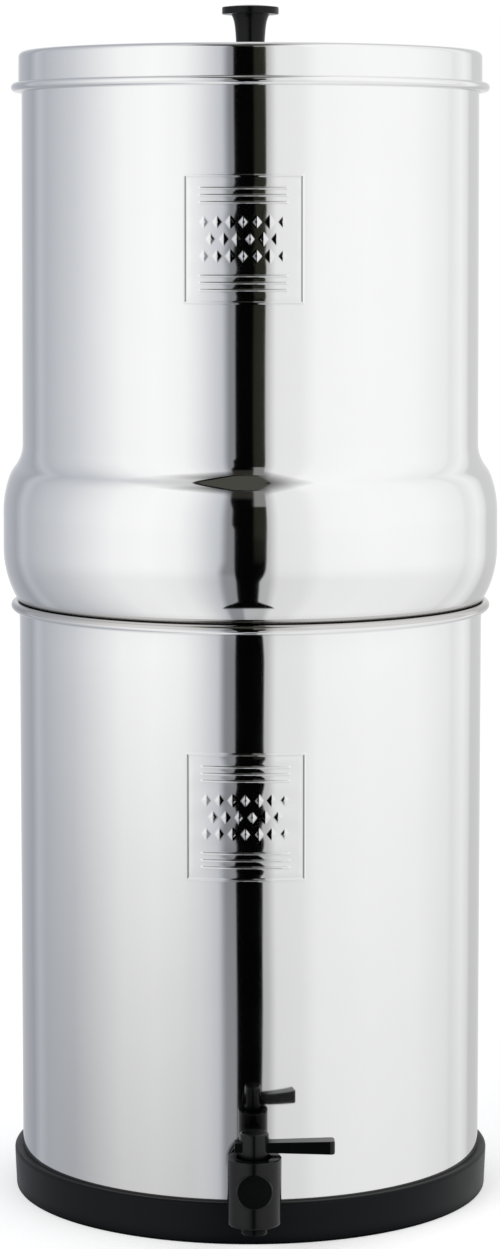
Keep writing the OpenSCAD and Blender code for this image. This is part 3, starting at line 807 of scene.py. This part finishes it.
def ceiling_cloth(tree, parts):
    """Where the dark cloth overhead is, its colour, and how much it dims the tent round it."""
    up = calc(tree, "MAXIMUM", parts["Z"], LOWEST_Z)
    across = calc(tree, "DIVIDE", parts["X"], up)
    ahead = calc(tree, "DIVIDE", calc(tree, "MULTIPLY", parts["Y"], -1.0), up)
    overhead = step(tree, parts["Z"], *OVERHEAD_Z)

    # How far inside each edge a place lies
    past_bow = calc(tree, "SUBTRACT", ahead, LEFT_BOW_AHEAD)
    bowed_left = calc(tree, "MULTIPLY_ADD", product(tree, past_bow, past_bow), -LEFT_BOW,
                      CEILING_LEFT)
    bowed_right = calc(tree, "MULTIPLY_ADD", product(tree, ahead, ahead), -RIGHT_BOW,
                       CEILING_RIGHT)
    left = calc(tree, "ADD", across, bowed_left)
    right = calc(tree, "SUBTRACT", bowed_right, across)
    front = calc(tree, "SUBTRACT", CEILING_FRONT, ahead)
    where = product(tree, step(tree, least(tree, left, right, front), *CEILING_SOFT),
                    step(tree, ahead, *CEILING_BACK), overhead)

    hem = least(tree, left, front, calc(tree, "ADD", right, step(tree, ahead, *HEM_END_AHEAD)))
    wider = product(tree, step(tree, ahead, *HEM_WIDER_AHEAD), HEM_WIDER)
    past_hem = step(tree, calc(tree, "SUBTRACT", hem, wider), *HEM)

    near = least(tree, left, product(tree, right, HALO_ON_RIGHT),
                 product(tree, front, HALO_IN_FRONT), calc(tree, "SUBTRACT", ahead, HALO_BACK))
    deep = calc(tree, "MAXIMUM", step(tree, ahead, *HALO_DEEP_AHEAD),
                step(tree, across, *HALO_DEEP_ACROSS))
    dimming = product(tree, ramp(tree, near, -HALO_REACH, 0.0),
                      calc(tree, "MULTIPLY_ADD", deep, HALO_DEEPER, HALO_DEPTH), overhead)
    return where, mixed(tree, past_hem, BLACK_CLOTH, CEILING_CLOTH), dimming


def surroundings(tree):
    """What the object mirrors: a pale tent with a dark cloth in front and another overhead."""
    ray = tree.nodes.new("ShaderNodeTexCoord").outputs["Generated"]
    parts = add(tree, "SeparateXYZ", Vector=ray).outputs
    ahead = calc(tree, "MULTIPLY", parts["Y"], -1.0)
    radians = calc(tree, "ARCTAN2", parts["X"], ahead)
    turn = calc(tree, "MULTIPLY_ADD", radians, 180 / math.pi, CAMERA_TURN_DEG)
    rise = calc(tree, "MULTIPLY", calc(tree, "ARCSINE", parts["Z"]), 180 / math.pi)
    overhead, ceiling, dimming = ceiling_cloth(tree, parts)
    in_front, front = front_cloth(tree, turn, rise)
    colour = mixed(tree, dimming, tent(tree, turn, rise), BLACK_CLOTH)
    return mixed(tree, overhead, mixed(tree, in_front, colour, front), ceiling)


def make_world():
    """White for the camera, and the surroundings for everything else."""
    world = bpy.data.worlds.new("studio")
    bpy.context.scene.world = world
    world.use_nodes = True
    tree = world.node_tree
    tree.nodes.clear()
    seen = tree.nodes.new("ShaderNodeLightPath").outputs["Is Camera Ray"]
    colour = mixed(tree, seen, surroundings(tree), (1.0, 1.0, 1.0))
    light = add(tree, "Background", Color=colour, Strength=1.0)
    add(tree, "OutputWorld", Surface=light.outputs["Background"])


FLOOR_R = 4.0
FLOOR_SIDES = 96
FLOOR_GREY = 0.8
# Light that the camera sees on the floor besides what the floor gives back, to make it white
FLOOR_GLOW = 0.45


def make_floor():
    """A pale floor that the camera sees as white, with the object's soft shadow on it."""
    work = bmesh.new()
    bmesh.ops.create_circle(work, cap_ends=True, segments=FLOOR_SIDES, radius=FLOOR_R)
    mesh = bpy.data.meshes.new("floor")
    work.to_mesh(mesh)
    work.free()
    material = bpy.data.materials.new("floor")
    material.use_nodes = True
    tree = material.node_tree
    tree.nodes.clear()
    seen = tree.nodes.new("ShaderNodeLightPath").outputs["Is Camera Ray"]
    pale = add(tree, "BsdfDiffuse", Color=grey(FLOOR_GREY))
    glow = add(tree, "Emission", Color=grey(1.0), Strength=product(tree, seen, FLOOR_GLOW))
    both = add(tree, "AddShader", i0=pale.outputs[0], i1=glow.outputs[0])
    add(tree, "OutputMaterial", Surface=both.outputs[0])
    mesh.materials.append(material)
    floor = bpy.data.objects.new("floor", mesh)
    bpy.context.scene.collection.objects.link(floor)
    floor.visible_glossy = False


def add_lamp(name, place, power, size):
    """A square lamp that points at the object's middle and shows in no mirror."""
    data = bpy.data.lights.new(name, "AREA")
    data.energy = power
    data.size = size
    lamp = bpy.data.objects.new(name, data)
    lamp.location = place
    towards = Vector((0, 0, 0.25)) - Vector(place)
    lamp.rotation_euler = towards.to_track_quat("-Z", "Y").to_euler()
    lamp.visible_glossy = False
    lamp.visible_camera = False
    bpy.context.scene.collection.objects.link(lamp)


def add_camera():
    """The photo's camera."""
    data = bpy.data.cameras.new("camera")
    data.sensor_fit = "VERTICAL"
    data.sensor_height = SENSOR_MM
    data.lens = PHOTO_FOCAL_PX / PHOTO_HEIGHT_PX * SENSOR_MM
    data.shift_x = CAMERA_SHIFT_X
    data.shift_y = CAMERA_SHIFT_Y
    data.clip_start = 0.01
    camera = bpy.data.objects.new("camera", data)
    turn = math.radians(CAMERA_TURN_DEG)
    camera.location = (-CAMERA_AWAY_MM * MM * math.sin(turn),
                       -CAMERA_AWAY_MM * MM * math.cos(turn), CAMERA_HEIGHT_MM * MM)
    camera.rotation_euler = (math.radians(90 - CAMERA_PITCH_DEG), 0, -turn)
    bpy.context.scene.collection.objects.link(camera)
    bpy.context.scene.camera = camera


# ---- Build ---------------------------------------------------------------

def dress_nodes():
    """Gives every CAD node that still shows the material of its slot."""
    slots = {row["node"]: row["material_slot"] for row in frame["record"]["subparts"]}
    for name, node in frame["nodes"].items():
        node.data.materials.clear()
        node.data.materials.append(MATERIALS[slots[name]])


bpy.context.scene.view_settings.view_transform = "Standard"
add_camera()
make_world()
make_floor()
add_lamp("key", place=(-1.1, -1.6, 1.7), power=12.0, size=1.2)
dress_nodes()
lower_chamber()
upper_chamber()
lid()
threads()
